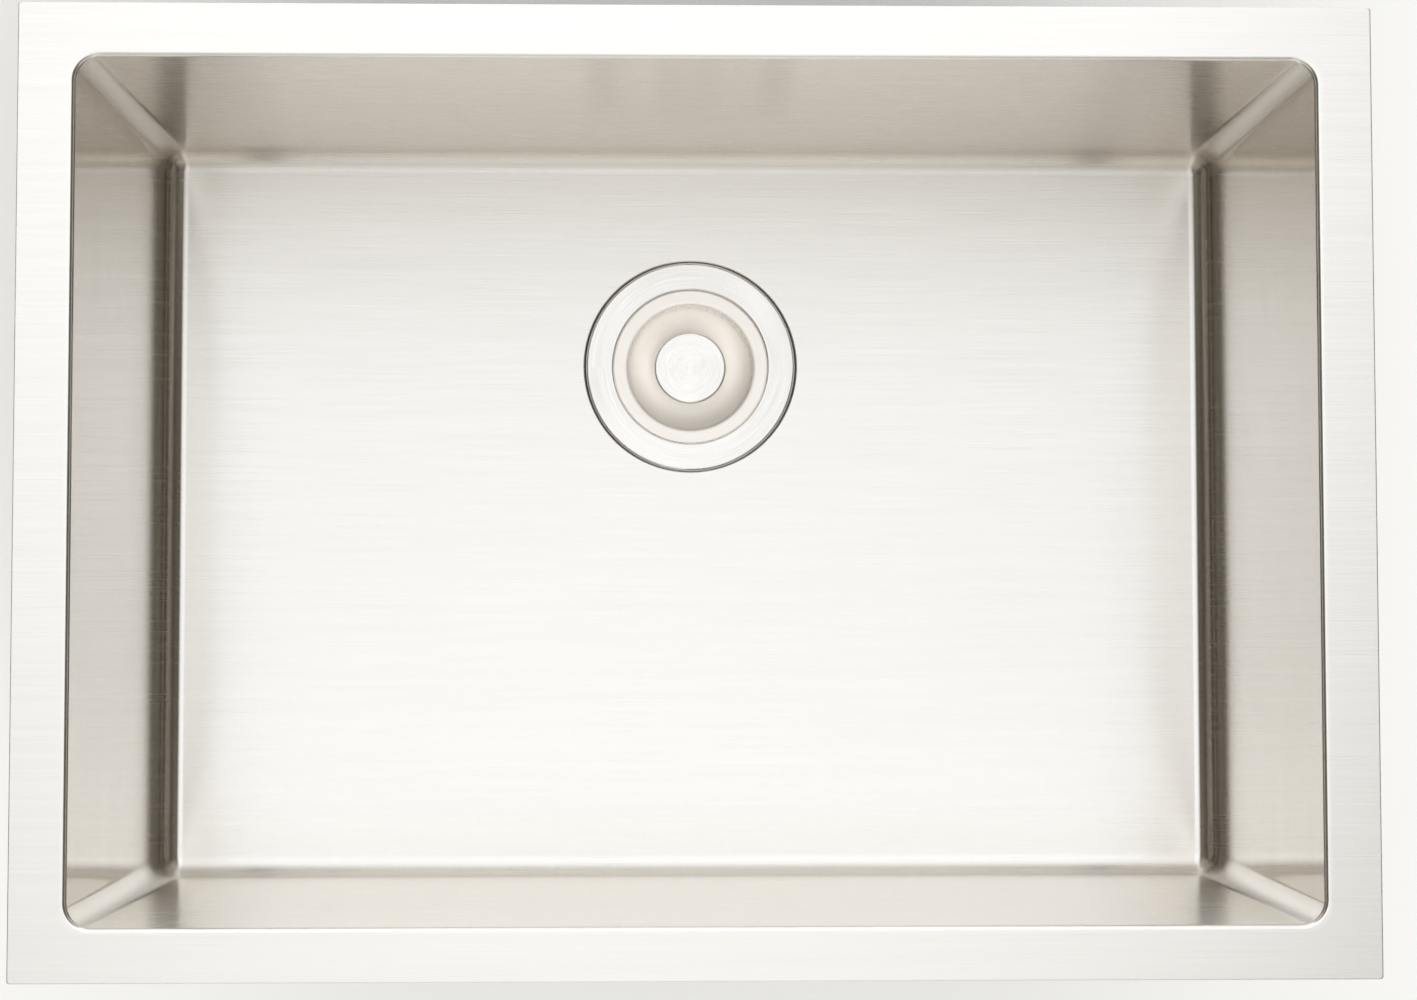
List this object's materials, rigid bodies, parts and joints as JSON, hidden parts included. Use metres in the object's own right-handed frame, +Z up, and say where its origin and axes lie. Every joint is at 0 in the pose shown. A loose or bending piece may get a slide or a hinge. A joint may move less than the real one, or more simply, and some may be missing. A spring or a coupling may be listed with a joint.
{
  "type": "undermount kitchen sink",
  "caption": "Rectangular single-bowl undermount sink in brushed stainless steel, with a flat flange, a basket strainer, sound pads and a tailpiece.",
  "frame": {"origin": "centre of the bowl's opening, in the plane of the flange's upper face", "axes": "+X to the right, +Y to the rear, where the drain is, +Z up out of the bowl"},
  "size_m": [0.6378, 0.4572, 0.3972],
  "materials": {
    "bowl_steel": "satin stainless, brushed along the walls and floor; grey undercoat on the outside",
    "pad_rubber": "matt sound-deadening rubber",
    "strainer_steel": "turned stainless",
    "seal_foam": "closed-cell foam",
    "gasket_rubber": "moulded rubber",
    "slip_ring_fibre": "pressed fibre",
    "cast_zinc": "die-cast zinc, tumbled",
    "basket_steel": "pressed stainless",
    "white_plastic": "moulded nylon and polythene",
    "turned_steel": "turned face, fine circular lines",
    "bright_steel": "bright drawn stainless",
    "stopper_rubber": "black moulded rubber",
    "chrome_tube": "chrome plated tube",
    "chrome_nut": "chrome plated casting"
  },
  "bodies": {
    "sink": {"sink_bowl": "bowl_steel", "pad_left": "pad_rubber", "pad_right": "pad_rubber", "pad_front": "pad_rubber", "pad_rear": "pad_rubber", "pad_floor_left": "pad_rubber", "pad_floor_right": "pad_rubber", "pad_floor_front": "pad_rubber", "strainer_body": "strainer_steel", "flange_seal": "seal_foam", "outlet_crossbar": "strainer_steel", "floor_gasket": "gasket_rubber"},
    "basket": {"basket_cup": "basket_steel", "rod_bushing": "white_plastic", "rod_oring": "gasket_rubber"},
    "plunger": {"knob": "turned_steel", "plunger_rod": "bright_steel", "stopper_plate": "basket_steel", "stopper": "stopper_rubber", "stopper_washer": "bright_steel", "rod_nut": "bright_steel"},
    "slip_ring": {"friction_ring": "slip_ring_fibre"},
    "locknut": {"locknut": "cast_zinc"},
    "tailpiece": {"tailpiece": "chrome_tube", "tailpiece_washer": "white_plastic"},
    "coupling_nut": {"coupling_nut": "chrome_nut"}
  },
  "joints": [
    {"name": "basket_lift", "type": "slide", "parent": "sink", "child": "basket", "axis": [0, 0, 1], "range_m": [0, 0.28]},
    {"name": "plunger_push", "type": "slide", "parent": "basket", "child": "plunger", "axis": [0, 0, 1], "range_m": [-0.008, 0]},
    {"name": "locknut_drop", "type": "slide", "parent": "sink", "child": "slip_ring", "axis": [0, 0, -1], "range_m": [0, 0.0264]},
    {"name": "locknut_turn", "type": "hinge", "parent": "slip_ring", "child": "locknut", "pos_m": [0, 0.0805, -0.2356], "axis": [0, 0, -1], "range_deg": [0, 4320]},
    {"name": "tailpiece_drop", "type": "slide", "parent": "sink", "child": "tailpiece", "axis": [0, 0, -1], "range_m": [0, 0.0154]},
    {"name": "coupling_turn", "type": "hinge", "parent": "tailpiece", "child": "coupling_nut", "pos_m": [0, 0.0805, -0.297], "axis": [0, 0, -1], "range_deg": [0, 2520]}
  ],
  "couplings": [
    {"joint": "locknut_turn", "follows": "locknut_drop", "rad_per_m": 2856},
    {"joint": "coupling_turn", "follows": "tailpiece_drop", "rad_per_m": 2856}
  ]
}
